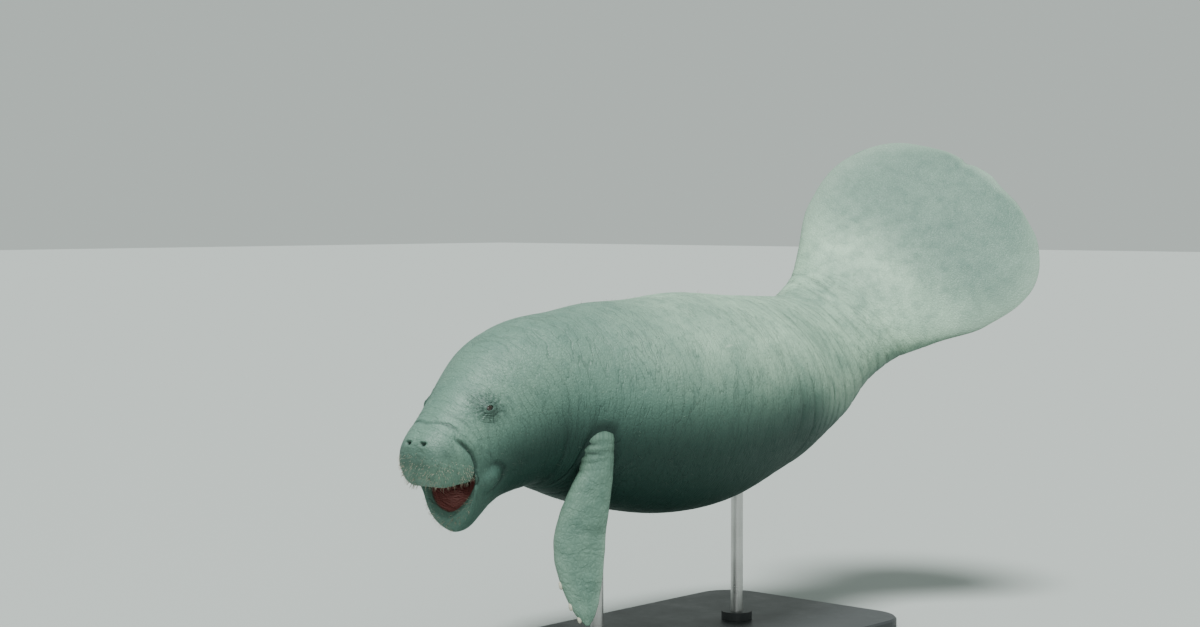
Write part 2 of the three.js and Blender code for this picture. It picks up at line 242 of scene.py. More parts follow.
# %% [markdown]
# ## Making meshes from grids
# Every new piece is a grid of points worked out by a formula. The grid closes round on itself, and each open
# end is closed by a fan to one point, so that every piece is a closed body. Its faces point outwards when the
# volume that they enclose comes out positive, which is quick to test.

# %% Grid to faces
def with_fans(grid):
    """A grid's values in a row, then those of its two fan points, which are the means of its end rows."""
    return np.concatenate([grid.reshape(-1, *grid.shape[2:]), grid[:1].mean(1), grid[-1:].mean(1)])


def grid_faces(rows, columns):
    """Quads of a grid whose columns close round, and a fan of triangles from one more point to each end."""
    row, column = np.meshgrid(np.arange(rows - 1), np.arange(columns), indexing="ij")
    after = (column + 1) % columns
    quads = np.stack([row * columns + column, row * columns + after,
                      (row + 1) * columns + after, (row + 1) * columns + column], -1).reshape(-1, 4)
    k = np.arange(columns)
    k_after = (k + 1) % columns
    last = (rows - 1) * columns
    first_fan = np.stack([np.full(columns, rows * columns), k_after, k], -1)
    last_fan = np.stack([np.full(columns, rows * columns + 1), last + k, last + k_after], -1)
    return quads, np.vstack([first_fan, last_fan])


def facing_out(points):
    """A closed shell over a grid, turned round if the volume that it encloses comes out below zero."""
    vertices = with_fans(points)
    quads, fans = grid_faces(*points.shape[:2])
    corners = vertices[np.vstack([quads[:, [0, 1, 2]], quads[:, [0, 2, 3]], fans])]
    volume = np.einsum("ij,ij->i", corners[:, 0], np.cross(corners[:, 1], corners[:, 2])).sum() / 6
    if volume < 0:
        quads, fans = quads[:, ::-1], fans[:, ::-1]
    return vertices, quads, fans


# %% Faces to an object
def add_object(name, data):
    """An object for a mesh, a lamp or a camera, put in the scene."""
    made = bpy.data.objects.new(name, data)
    bpy.context.scene.collection.objects.link(made)
    return made


def mesh_object(name, shells):
    """One smooth object from several shells, each given as (vertices, quads, triangles)."""
    vertices, faces, start = [], [], 0
    for shell_vertices, quads, fans in shells:
        faces += (quads + start).tolist() + (fans + start).tolist()
        vertices.append(shell_vertices)
        start += len(shell_vertices)
    mesh = bpy.data.meshes.new(name)
    mesh.from_pydata(np.vstack(vertices).tolist(), [], faces)
    mesh.polygons.foreach_set("use_smooth", np.ones(len(mesh.polygons), bool))
    mesh.update()
    print(name, len(mesh.vertices), "points", sum(len(f) - 2 for f in faces), "triangles")
    return add_object(name, mesh)


def set_attribute(piece, name, values):
    """A number on every point, for the material to read."""
    layer = piece.data.attributes.new(name, "FLOAT", "POINT")
    layer.data.foreach_set("value", np.asarray(values, np.float32))


# %% [markdown]
# ## Slow, uneven variation
# Skin is never even. A sum of waves that run in many fixed directions gives a soft, cloudy number for every
# place, with no image and the same result each run. It lets folds wander and keeps the trunk from looking
# turned on a lathe.

# %% Cloudy variation
def cloud(points, size, seed, waves=14):
    """A sum of sines along seeded random directions, each about one size long, between about -1 and 1."""
    rng = np.random.default_rng(seed)
    directions = unit(rng.normal(size=(waves, 3)))
    speeds = rng.uniform(0.6, 1.6, waves) * TURN_ROUND / size
    phases = rng.uniform(0, TURN_ROUND, waves)
    total = np.zeros(points.shape[:-1])
    for direction, speed, phase in zip(directions, speeds, phases):
        total += np.sin(points @ (direction * speed) + phase)
    return total / math.sqrt(waves) / 1.4


# %% [markdown]
# ## Relief of the head
# The photo shows a heavy upper lip pad with a crease behind it, a lobe of cheek behind the corner of the
# mouth, two nostrils like half-closed lids on top of the muzzle, and a small eye in a dark patch of fine
# wrinkles. Each is a bump or a groove of known place and size, added along the skin's own outward direction.

# %% Named places of the head
EYE = np.array([0.214, 0.0, 0.084])
NOSTRIL = np.array([0.027, 0.025, 0.063])
CHEEK_LOBE = (0.162, -0.100)
LOBE_HALF = (0.044, 0.038)
PAD_CREASE = [(0.076, 0.066), (0.096, 0.034), (0.114, -0.004), (0.118, -0.035), (0.113, -0.065),
              (0.112, -0.084)]
PAD_BACK_HEIGHTS, PAD_BACK = (-0.085, -0.035, -0.004, 0.066), (0.112, 0.118, 0.114, 0.076)
FACE_LINES = [
    [(0.085, 0.112), (0.100, 0.085), (0.112, 0.052)],
    [(0.118, 0.125), (0.130, 0.090), (0.142, 0.055)],
    [(0.150, -0.010), (0.168, -0.030), (0.176, -0.052)],
    [(0.262, 0.110), (0.276, 0.085), (0.268, 0.045)],
    [(0.180, 0.058), (0.205, 0.048), (0.240, 0.052)],
]


def distance_to_line(x, z, points):
    """The least distance, in side view, to a line through points, and how far along it that is, 0 to 1."""
    best = np.full(np.shape(x), 9.0)
    along = np.zeros(np.shape(x))
    for i, ((ax, az), (bx, bz)) in enumerate(zip(points[:-1], points[1:])):
        run, rise = bx - ax, bz - az
        t = np.clip(((x - ax) * run + (z - az) * rise) / (run**2 + rise**2), 0, 1)
        gap = np.hypot(x - ax - t * run, z - az - t * rise)
        along = np.where(gap < best, (i + t) / (len(points) - 1), along)
        best = np.minimum(best, gap)
    return best, along


# %% Lip pad, cheek and face lines
def pad_and_cheek(x, y, z):
    """A groove along the pad's crease with a swelling on each side of it, and a lobe with a groove round its
    back. Each is a bell of the distance from its line or its middle."""
    side = fade(0.02, 0.06, np.abs(y))
    gap, along = distance_to_line(x, z, PAD_CREASE)
    groove = side * hump(gap, 0, 0.0060) * fade(0.0, 0.25, along)
    before = x < np.interp(z, PAD_BACK_HEIGHTS, PAD_BACK)
    pad_swell = side * hump(gap, 0.021, 0.017) * before * fade(0.0, 0.4, along)
    cheek_swell = side * hump(gap, 0.024, 0.016) * ~before * fade(0.1, 0.4, along) * fade(0.8, 0.5, along)
    lobe_side = fade(0.02, 0.08, np.abs(y))
    lobe_out = np.hypot((x - CHEEK_LOBE[0]) / LOBE_HALF[0], (z - CHEEK_LOBE[1]) / LOBE_HALF[1])
    lobe = (1 - fade(0.15, 1.10, lobe_out)) * lobe_side
    lobe_edge = hump(lobe_out, 1.12, 0.16) * lobe_side * fade(-0.02, 0.03, x - CHEEK_LOBE[0])
    relief = -0.0075 * groove + 0.0042 * pad_swell + 0.0038 * cheek_swell + 0.0170 * lobe - 0.0045 * lobe_edge
    return relief, 0.95 * groove + 0.75 * lobe_edge


def face_lines(x, y, z):
    """Thin grooves beside the muzzle and the eye, one fold across the snout and faint rings before it."""
    fine = np.zeros_like(x)
    for line in FACE_LINES:
        gap, along = distance_to_line(x, z, line)
        fine += hump(gap, 0, 0.0032) * np.sin(along * math.pi) * fade(0.02, 0.06, np.abs(y))
    ring_place = x - 0.30 * np.abs(y)
    snout_fold = hump(ring_place, 0.082, 0.0045) * fade(0.05, 0.08, z) * fade(0.10, 0.04, np.abs(y))
    snout_rings = hump(x, 0.085, 0.045) * fade(0.05, 0.09, z) * np.sin(ring_place / 0.0125 * TURN_ROUND)
    return -0.0016 * fine - 0.0022 * snout_fold + 0.0006 * snout_rings, 0.45 * fine + 0.6 * snout_fold


def head_relief(straight, place):
    """Sum of the face's bumps and grooves, how deep in a crease each point lies, and how shaded it is."""
    x, y, z = straight[..., 0], straight[..., 1], straight[..., 2]
    face = 1 - fade(0.36, 0.46, place)
    pad_lift, pad_crease = pad_and_cheek(x, y, z)
    line_lift, line_crease = face_lines(x, y, z)
    shade = 0.42 * hump(z, 0.030, 0.030) * (1 - fade(0.045, 0.085, x))
    return (pad_lift + line_lift) * face, (pad_crease + line_crease) * face, shade * face


# %% [markdown]
# ## Nostrils and lids
# The nostrils are valves on top of the muzzle, seen half shut. The lids have no lashes and close like a
# purse, so the skin round the eye is drawn into rings and rays. Both are too small for hoops of their own, so
# they are relief on the same grid: a mound with a pit, and a dome with an almond opening down to the ball.

# %% Nostrils and eyes
EYE_RADIUS = 0.013
EYE_PROUD = 0.008


def nostril_relief(straight):
    """A low mound with a deep half-moon pit in front, as a valve half shut."""
    dx = straight[..., 0] - NOSTRIL[0]
    dy = np.abs(straight[..., 1]) - NOSTRIL[1]
    dz = straight[..., 2] - NOSTRIL[2]
    uphill = 0.7 * (dx + dz) - 0.25 * np.abs(dy)
    near = np.sqrt(dx**2 + dy**2 + dz**2)
    mound = hump(near, 0, 0.019)
    pit = np.exp(-((near / 0.0085) ** 4)) * (1 - fade(-0.001, 0.004, uphill))
    # The pit is also where the finish paints shade.
    return 0.0058 * mound - 0.0130 * pit, pit


def eye_relief(straight, eye_centre):
    """Round the eye: a dome over the ball, an almond opening down to it, and wrinkles like rays and rings."""
    dx = straight[..., 0] - EYE[0]
    dz = straight[..., 2] - EYE[2]
    beside = np.abs(np.abs(straight[..., 1]) - eye_centre) < 0.05
    near = np.hypot(dx, dz)
    turn = np.arctan2(dz, dx)
    almond = np.hypot(dx / 0.0092, (dz - 0.12 * dx) / 0.0050)
    opening = 1 - fade(0.72, 1.10, almond)
    dome = np.exp(-((near / 0.0175) ** 2.4))
    second_fold = hump(almond, 2.35, 0.26) * (0.6 + 0.4 * np.sign(dz))
    ring_zone = fade(0.013, 0.019, near) * (1 - fade(0.034, 0.058, near))
    rings = np.sin((np.hypot(dx, dz * 1.30) + 0.0015 * np.sin(5 * turn)) / 0.0068 * TURN_ROUND) * ring_zone
    rays = np.sin(17 * turn + 55 * near) * ring_zone
    relief = 0.0105 * dome - 0.0015 * hump(near, 0, 0.042) - 0.0016 * second_fold - 0.0125 * opening
    relief += 0.0011 * rings + 0.0005 * rays
    # Painted shade in the valleys of the rings and in the fold round the lids, and a dark patch round the
    # eye.
    shade_and_eye_patch = 0.80 * hump(near, 0, 0.031) + 0.35 * ring_zone * (rings < 0) + 0.25 * second_fold
    return np.where(beside, relief, 0.0), np.where(beside, np.clip(shade_and_eye_patch, 0, 1), 0.0)


# %% [markdown]
# ## Folds of the trunk
# The thick hide lies in soft rings: broad ones behind the head and over the shoulder, and closer, sharper
# ones towards the tail, as the photo shows. The net of fine wrinkles between them is left to the finish. The
# rings are waves along the body whose phase wanders with a cloudy number, so that they fork and fade as real
# folds do.

# %% Trunk, tail and paddle relief
NECK_FOLD = 0.085
TAIL_FOLD = 0.056


def trunk_relief(straight, angle):
    """Rings of soft folds, sharp in the valleys, of a width and depth that change along the body."""
    x = straight[..., 0]
    wander = cloud(straight, 0.32, 11)
    patch = 0.5 + 0.5 * cloud(straight, 0.26, 12)
    under = fade(-0.2, 0.8, -np.sin(angle))
    neck_waves = 1 - np.abs(np.sin((x / NECK_FOLD + 0.25 * wander) * math.pi))
    neck = neck_waves**4 * fade(0.32, 0.40, x) * (1 - fade(0.56, 0.76, x)) * (0.35 + 0.9 * under)
    tail_waves = 1 - np.abs(np.sin((x / TAIL_FOLD + 0.42 * wander) * math.pi))
    tail_zone = fade(0.95, 1.50, x) * (1 - fade(1.95, 2.10, x))
    tail = tail_waves**3 * tail_zone * np.clip(0.30 + 0.9 * patch, 0, 1.3)
    relief = -0.0045 * neck - 0.0036 * tail
    relief += 0.0035 * cloud(straight, 0.45, 13) * fade(0.40, 0.70, x) * (1 - 0.7 * fade(1.9, 2.1, x))
    return relief, 0.50 * neck + 0.50 * tail


def paddle_relief(straight):
    """A spine ridge that dies out, faint rays that fan to the rim, and slow dents."""
    x, y = straight[..., 0], straight[..., 1]
    zone = fade(1.98, 2.20, x)
    ridge = hump(y, 0, 0.050) * (1 - fade(2.15, 2.60, x))
    fan = np.arctan2(y, x - 1.75)
    rays = np.cos(fan * 46 + 1.5 * cloud(straight, 0.3, 22)) * fade(2.25, 2.45, x) * (1 - fade(2.64, 2.72, x))
    return zone * (0.004 * ridge + 0.0005 * rays + 0.0022 * cloud(straight, 0.30, 21))


# %% [markdown]
# ## The skin's grid
# The grid has more columns where the eyes lie, and more rows in the face than in the trunk: detail costs
# points, and the back needs few. The column angles come from adding up a density and reading it backwards.

# %% Uneven spacing
def uneven(low, high, count, density):
    """Count places from low up to, not with, high, as close together as a density function of place asks."""
    fine = np.linspace(low, high, 6001)
    thick = density(fine)
    reached = np.concatenate([[0], np.cumsum((thick[1:] + thick[:-1]) / 2)])
    return np.interp(np.arange(count) / count, reached / reached[-1], fine)


# %% Where the eyes sit
def eye_on_hoops():
    """Place and angle of the right eye, and how far out the bare skin lies there: a net's nearest point."""
    place, angle = np.meshgrid(np.linspace(0.1, 0.36, 500), np.linspace(0.05, 1.5, 500), indexing="ij")
    net = hoop_surface(place, angle)
    nearest = np.argmin(np.hypot(net[..., 0] - EYE[0], net[..., 2] - EYE[2]))
    return place.flat[nearest], angle.flat[nearest], net[..., 1].flat[nearest]


eye_place, eye_angle, eye_surface = eye_on_hoops()
print("the skin at the eyes is", round(float(eye_surface), 4), "m from the middle")


# %% Rows and columns
def column_density(angle):
    """More columns through the eyes."""
    return 1 + 4.2 * hump(angle, eye_angle, 0.12) + 4.2 * hump(angle, math.pi - eye_angle, 0.12)


def row_density(place):
    """More rows in the face, through the eyes, round the flipper roots and over the tail folds."""
    rows = 1 + 5 * (1 - fade(0.14, 0.36, place)) + 7 * hump(place, eye_place, 0.016)
    return rows + 1.4 * hump(place, 0.56, 0.09) + 0.8 * fade(1.2, 1.5, place) * (1 - fade(1.95, 2.1, place))


COLUMNS = 190
column_angles = uneven(0, TURN_ROUND, COLUMNS, column_density)
mouth_rows = 1 - np.linspace(0, 1, 22, endpoint=False) ** 1.15
paddle_rows = PADDLE_FLAT + (TOTAL_LENGTH - PADDLE_FLAT) * np.sin(np.linspace(0, math.pi / 2, 46))
body_rows = np.concatenate([uneven(0, PADDLE_FLAT, 398, row_density), paddle_rows])
print(len(mouth_rows) + len(body_rows), "rows of", COLUMNS, "columns")


# %% Outward directions
def outward(points):
    """Directions square to a grid whose columns close round, pointing outwards."""
    along = np.gradient(points, axis=0)
    around = (np.roll(points, -1, 1) - np.roll(points, 1, 1)) / 2
    return unit(np.cross(around, along))


# %% [markdown]
# ## Flippers
# A flipper is a flat arm: a round wrist at the shoulder, a broad blade, and a rounded tip that leans back. It
# is a loft of ovals along a slightly bowed line. A seam at the root would show, and a fillet drawn between
# the two shapes came out ragged. So the arm ends in a rounded cap that sinks into the trunk, and a soft
# groove runs round it.

# %% Flipper sizes
FLIPPER_LENGTH = 0.515
FLIPPER_CHORD = [(0, 0.104), (0.145, 0.094), (0.27, 0.115), (0.43, 0.138), (0.57, 0.144), (0.79, 0.113),
                 (0.944, 0.054), (1, 0.012)]
FLIPPER_THICK = [(0, 0.084), (0.16, 0.064), (0.34, 0.052), (0.56, 0.038), (0.74, 0.027), (0.9, 0.018),
                 (1, 0.008)]
FLIPPER_SWEEP = [(0, 0), (0.145, -0.005), (0.27, 0.008), (0.43, 0.026), (0.57, 0.034), (0.79, 0.024),
                 (0.944, 0.007), (1, 0)]
chord_at, thick_at, sweep_at = [smooth_through(p) for p in (FLIPPER_CHORD, FLIPPER_THICK, FLIPPER_SWEEP)]
FLIPPERS = {
    # along points to the tip, trailing to the rear edge and sinks into the trunk; tuck draws the root in
    "left": {"root": (0.578, -0.192, -0.100), "along": (-0.125, -0.05, -0.99),
             "trailing": (0.77, -0.64, 0.02), "sinks": (0.125, 0.05, 0.99), "tuck": 0.0},
    "right": {"root": (0.578, 0.192, -0.100), "along": (0.86, 0.47, -0.2),
              "trailing": (-0.2, -0.12, -0.97), "sinks": (-0.42, -0.90, 0.05), "tuck": 0.028},
}


# %% The arm as a loft of ovals
def flipper_axes(side):
    """Root, and the directions down the flipper, from leading to trailing edge, and through it."""
    along = unit(FLIPPERS[side]["along"])
    trailing = np.array(FLIPPERS[side]["trailing"])
    trailing = unit(trailing - along * (trailing @ along))
    return posed(np.array(FLIPPERS[side]["root"])), along, trailing, np.cross(along, trailing)


def flipper_surface(side, share, angle):
    """Ovals with a thin trailing edge, set along a bowed line from the root to the tip."""
    root, along, trailing, through = flipper_axes(side)
    chordwise = chord_at(share) / 2 * np.cos(angle) - sweep_at(share)
    thin = 1 - 0.35 * np.cos(angle) * share
    height = thick_at(share) / 2 * np.sin(angle) * thin
    return (root + share[..., None] * FLIPPER_LENGTH * along + chordwise[..., None] * trailing
            + height[..., None] * through)


# %% Creases of the wrist
WRIST_CREASES = [
    # share of the length, depth, half width
    (0.028, 0.9, 0.010),
    (0.078, 1.0, 0.011),
    (0.120, 0.5, 0.008),
    (0.165, 0.3, 0.007),
]


def flipper_relief(share, angle, points):
    """Deep creases across the leading half of the wrist, faint finger rays, and small unevenness."""
    front = fade(-0.75, 0.45, -np.cos(angle))
    bent = share + 0.014 * np.cos(angle)
    wrist = sum(deep * hump(bent, at, width) for at, deep, width in WRIST_CREASES)
    wrist *= 0.25 + 0.75 * front
    rays = np.cos(5 * angle) * fade(0.35, 0.55, share) * (1 - fade(0.8, 0.95, share))
    dent = hump(share, 0.50, 0.035) * fade(0.2, 0.9, np.cos(angle - 0.9))
    relief = -0.0052 * wrist + 0.0009 * rays + 0.0014 * cloud(points, 0.07, 32) - 0.0022 * dent
    relief *= 1 - fade(0.93, 1.0, share)
    return relief, 0.85 * wrist + 0.25 * dent


# %% Flippers with a rounded root
FLIPPER_COLUMNS = 60
FLIPPER_ROWS = 78
CAP_ROWS = 12
CAP_DEPTH = 0.060
flipper_turns = np.arange(FLIPPER_COLUMNS) / FLIPPER_COLUMNS * TURN_ROUND


def flipper_grid(side):
    """The arm's ovals with their creases, begun by a rounded cap that sinks into the trunk. Also how deep in
    a crease each point lies, and its share of the length."""
    shares = 1 - (1 - np.linspace(0, 1, FLIPPER_ROWS)) ** 1.25
    share, turn = np.meshgrid(shares, flipper_turns, indexing="ij")
    arm = flipper_surface(side, share, turn)
    out = outward(arm)
    out *= np.sign((out * (arm - arm.mean(1, keepdims=True))).sum(-1, keepdims=True))
    relief, mark = flipper_relief(share, turn, arm)
    sinks = unit(FLIPPERS[side]["sinks"])
    tucked = FLIPPERS[side]["tuck"] * (1 - fade(0.0, 0.30, share))
    arm = arm + out * relief[..., None] + sinks * tucked[..., None]
    centre = arm[0].mean(0)
    cap_turn = np.linspace(0.12, math.pi / 2, CAP_ROWS, endpoint=False)[:, None, None]
    cap = centre + (arm[:1] - centre) * np.sin(cap_turn) + sinks * np.cos(cap_turn) * CAP_DEPTH
    zero = np.zeros((CAP_ROWS, FLIPPER_COLUMNS))
    return np.vstack([cap, arm]), np.vstack([zero + mark[:1], mark]), np.vstack([zero, share])


def arm_gap(side, points):
    """About how far points lie outside the arm, in metres, and below zero inside it."""
    root, along, trailing, through = flipper_axes(side)
    apart = points - root
    share = apart @ along / FLIPPER_LENGTH
    held = np.clip(share, 0, 1)
    across = apart @ trailing + sweep_at(held)
    thick = apart @ through
    radial = np.hypot(across / (chord_at(held) / 2), thick / (thick_at(held) / 2))
    beyond = np.maximum(-share * FLIPPER_LENGTH - CAP_DEPTH * 0.6, 0)
    return (1 - 1 / np.maximum(radial, 0.2)) * np.hypot(across, thick) + beyond


# %% [markdown]
# ## The body's relief, added up
# All bumps and grooves are heights over the same smooth hoops, so they are added up, and every point moves by
# the sum along its own outward direction. Where a flipper meets the trunk, the hide sinks into a soft groove
# round the arm.

# %% Body grid
FACE_END = 0.40
place, angle = np.meshgrid(body_rows, column_angles, indexing="ij")
body_straight = hoop_surface(place, angle)
nick = hump(body_straight[..., 1], 0.100, 0.014) * fade(2.64, 2.72, body_straight[..., 0])
wave = 0.0022 * np.sin(body_straight[..., 1] * 41 + 0.6) * fade(2.45, 2.70, body_straight[..., 0])
body_straight[..., 0] += wave - 0.011 * nick
head_lift, head_crease, head_shade = head_relief(body_straight, place)
trunk_lift, trunk_crease = trunk_relief(body_straight, angle)
nostril_lift, pit = nostril_relief(body_straight)
eye_lift, eye_shade_and_patch = eye_relief(body_straight, eye_surface)
in_face = place < FACE_END
lift = head_lift + trunk_lift + paddle_relief(body_straight) + np.where(in_face, nostril_lift + eye_lift, 0)
# The crease numbers mark where shade is painted in the folds and grooves.
crease_shade = head_crease + trunk_crease
# Painted shade in the nostril pits, round the eye and on the front of the muzzle, with the dark patch round
# the eye.
shade_and_eye_patch = np.where(in_face, np.clip(pit + eye_shade_and_patch + head_shade, 0, 1), 0)
print(body_straight.shape[0] * body_straight.shape[1], "points on the hoops")

# %% Grooves round the arms, and the finished grids
bare = posed(body_straight)
for side in FLIPPERS:
    gap = arm_gap(side, bare)
    lift += 0.0020 * hump(np.maximum(gap, 0), 0, 0.034) - 0.0075 * hump(gap, 0.004, 0.012)
    # Painted shade in the groove round each arm.
    crease_shade += 0.95 * hump(gap, 0.003, 0.011)
lift *= fade(-0.002, 0.012, place)
body_points = body_straight + outward(body_straight) * lift[..., None]
inward, mouth_angle = np.meshgrid(mouth_rows, column_angles, indexing="ij")
mouth_points = mouth_surface(inward, mouth_angle)
print("relief from", round(float(lift.min()) * 1000, 1), "to", round(float(lift.max()) * 1000, 1), "mm")

# %% [markdown]
# ## One skin
# Body, mouth and both flippers become one object, so that one finish runs over them without a seam. It takes
# the place of the eleven solids of the flesh.

# %% Build the skin
FLESH = ["head", "muzzle", "lower_jaw", "neck", "chest", "belly", "loin", "tail_stock", "tail_paddle",
         "flipper_left", "flipper_right"]
left_points, left_crease, left_share = flipper_grid("left")
right_points, right_crease, right_share = flipper_grid("right")
body_shell = facing_out(posed(np.vstack([mouth_points, body_points])))
skin = mesh_object("skin", [body_shell, facing_out(left_points), facing_out(right_points)])
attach(skin, "root")
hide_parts(*FLESH)

# %% [markdown]
# ## Numbers for the finish
# A finish looks right only where it knows the body. So every point of the skin carries some numbers: how deep
# in a crease it lies, for painted shade there, how near a rim, how far under the belly, for painted shade
# below, how much painted light its top gets, where shade is painted in pits and round the eye, and whether it
# is inside the mouth. It also carries its place on the straight animal, so that wrinkles follow the bend.

# %% Where the hide gets painted light or shade, or is thin
edge = np.abs(np.cos(angle)) ** 6 * fade(2.0, 2.2, place) + fade(TOTAL_LENGTH - 0.045, TOTAL_LENGTH, place)
# Painted shade below: darker towards the underside, from the chin to the tail stock.
under = fade(-0.15, 0.50, -np.sin(angle)) * (1 - fade(1.75, 2.1, place)) * fade(0.05, 0.30, place)
upper = fade(-0.35, 0.55, np.sin(angle))
# Painted light: the top of the body is paler, little on the head, most over the back, less on the paddle,
# with a painted band of light over the paddle's root.
pale = (0.22 + 0.78 * fade(0.50, 1.30, place)) * upper * (1 - 0.80 * fade(2.12, 2.42, place))
pale += 0.45 * hump(place, 2.07, 0.10) * upper
calm = 0.90 * fade(1.95, 2.15, place) + 0.35 * (1 - fade(0.30, 0.50, place))
in_mouth = fade(0.0, 0.12, inward)
flipper_rim = np.abs(np.cos(flipper_turns)) ** 8 * fade(0.3, 0.6, left_share) * 0.55
print("mean paleness of the body", round(float(pale.mean()), 2))


# %% Numbers and places on every point
def on_skin(mouth_part, body_part, left_part, right_part):
    """Values in the order of the skin's points. Mouth and body are one grid; each shell ends in its fans."""
    parts = (np.vstack([mouth_part, body_part]), left_part, right_part)
    return np.concatenate([with_fans(part) for part in parts])


def laid_flat(shares):
    """Straight coordinates for a flipper: down its length, then round it."""
    turn = np.broadcast_to(flipper_turns, shares.shape)
    return np.stack([3 + 0.45 * shares * FLIPPER_LENGTH, 0.06 * np.cos(turn), 0.03 * np.sin(turn)], -1)


grid_shapes = (inward.shape, place.shape, left_share.shape, right_share.shape)
for name, numbers in {
    # in the mouth, on the body, on the left flipper, on the right flipper
    # crease: painted shade in folds, grooves and wrist creases.
    "crease_shade": (0, crease_shade, left_crease, right_crease),
    # dark: painted shade in the nostril pits, round the eye and on the muzzle front, and the eye's dark
    # patch.
    "shade_and_eye_patch": (0, shade_and_eye_patch, 0, 0),
    "rim": (0, edge, flipper_rim, flipper_rim),
    # under: painted shade below, half of it inside the mouth, some on the flippers and more on the right one.
    "under": (0.5, under, 0.10, 0.25),
    # pale: painted light on the top of the body, and some on the flippers, less on the right one.
    "pale": (0, pale, 0.40, 0.30),
    "calm": (0, calm, 0.60, 0.60),
    "mouth": (in_mouth, 0, 0, 0),
}.items():
    filled = [np.broadcast_to(np.clip(number, 0, 1), shape) for number, shape in zip(numbers, grid_shapes)]
    set_attribute(skin, name, on_skin(*filled))
straight_places = on_skin(mouth_points, body_points, laid_flat(left_share), laid_flat(right_share) + 1)
layer = skin.data.attributes.new("laid_straight", "FLOAT_VECTOR", "POINT")
layer.data.foreach_set("vector", straight_places.astype(np.float32).ravel())
print("the skin carries", len(straight_places), "straight places")


# %% [markdown]
# ## Materials from nodes
# A few helpers keep each material short: they add a node, give it its inputs and hand on its output. All
# patterns read Object coordinates or the skin's own numbers, so that they stay on the surface from every
# side.

# %% Adding a node
def new_material(name):
    """An empty node material with its Principled shader and output."""
    material = bpy.data.materials.new(name)
    material.use_nodes = True
    material.node_tree.nodes.clear()
    shader = material.node_tree.nodes.new("ShaderNodeBsdfPrincipled")
    out = material.node_tree.nodes.new("ShaderNodeOutputMaterial")
    material.node_tree.links.new(shader.outputs["BSDF"], out.inputs["Surface"])
    return material, shader


def feed(material, made, values):
    """Give a node its inputs: a socket is linked, and a plain value is set."""
    for key, value in values.items():
        if isinstance(value, bpy.types.NodeSocket):
            material.node_tree.links.new(value, made.inputs[key])
        else:
            made.inputs[key].default_value = value


def add_node(material, kind, values, **settings):
    """A new node of a kind, with its settings and inputs; what comes back are its outputs."""
    made = material.node_tree.nodes.new("ShaderNode" + kind)
    for key, value in settings.items():
        setattr(made, key, value)
    feed(material, made, values)
    return made.outputs


# %% Mixing and sums
MIX_AMOUNT, MIX_FIRST, MIX_SECOND, MIX_RESULT = 0, 6, 7, 2


def mix_colour(material, amount, first, second):
    """The first colour where the amount is 0, the second where it is 1. Each is a socket or a plain value."""
    values = {MIX_AMOUNT: amount, MIX_FIRST: first, MIX_SECOND: second}
    return add_node(material, "Mix", values, data_type="RGBA")[MIX_RESULT]


def maths(material, operation, first, second=0.0, clamp=False):
    """One sum, product or other operation on sockets or plain numbers."""
    return add_node(material, "Math", {0: first, 1: second}, operation=operation, use_clamp=clamp)[0]


def spread(material, source, low, high, to_low=0.0, to_high=1.0):
    """A number stretched from one range to another and held inside it."""
    values = {"Value": source, "From Min": low, "From Max": high, "To Min": to_low, "To Max": to_high}
    return add_node(material, "MapRange", values)["Result"]


def bump(material, height, strength, distance, normal=None):
    """Fine relief for the shader, laid over an earlier one if there is one."""
    values = {"Height": height, "Strength": strength, "Distance": distance}
    if normal is not None:
        values["Normal"] = normal
    return add_node(material, "Bump", values)["Normal"]


# %% Coordinates and patterns
def attribute(material, name, output="Fac"):
    """A number, or a place, that the piece's points carry."""
    return add_node(material, "Attribute", {}, attribute_name=name)[output]


def stretched(material, vector, scale, turn=(0, 0, 0)):
    """Coordinates stretched or turned for a pattern."""
    return add_node(material, "Mapping", {"Vector": vector, "Scale": scale, "Rotation": turn})["Vector"]


def object_place(material, scale=(1, 1, 1)):
    """Object coordinates, stretched for a pattern."""
    return stretched(material, add_node(material, "TexCoord", {})["Object"], scale)


def hide_place(material, scale=(1, 1, 1), turn=(0, 0, 0)):
    """Places of the straight animal, so that a pattern follows the bent body and runs round it."""
    return stretched(material, attribute(material, "laid_straight", "Vector"), scale, turn)


def warped(material, where, scale, reach):
    """Coordinates pushed about by soft noise, which makes straight patterns wander."""
    push = add_node(material, "TexNoise", {"Vector": where, "Scale": scale, "Detail": 3.0})["Color"]
    values = {0: push, 1: (reach, reach, reach), 2: where}
    return add_node(material, "VectorMath", values, operation="MULTIPLY_ADD")["Vector"]


def noise(material, where, scale, detail=4.0, roughness=0.55):
    """Cloudy noise."""
    values = {"Vector": where, "Scale": scale, "Detail": detail, "Roughness": roughness}
    return add_node(material, "TexNoise", values)["Fac"]


def cells(material, where, scale):
    """Distance to the edges of irregular cells."""
    values = {"Vector": where, "Scale": scale}
    return add_node(material, "TexVoronoi", values, feature="DISTANCE_TO_EDGE")["Distance"]


# %% [markdown]
# ## Hide
# In the photo the hide is a pale grey-green on the lit back, blue-green grey on the head and dark green
# below. Close up it is matte and leathery: a net of fine wrinkles, dark in its creases, with paler worn
# patches, small scars and a pale rim on the paddle. Layers of noise mix the colours. The back gets painted
# light, the underside painted shade, and the crease numbers and the wrinkle net paint shade into the folds.

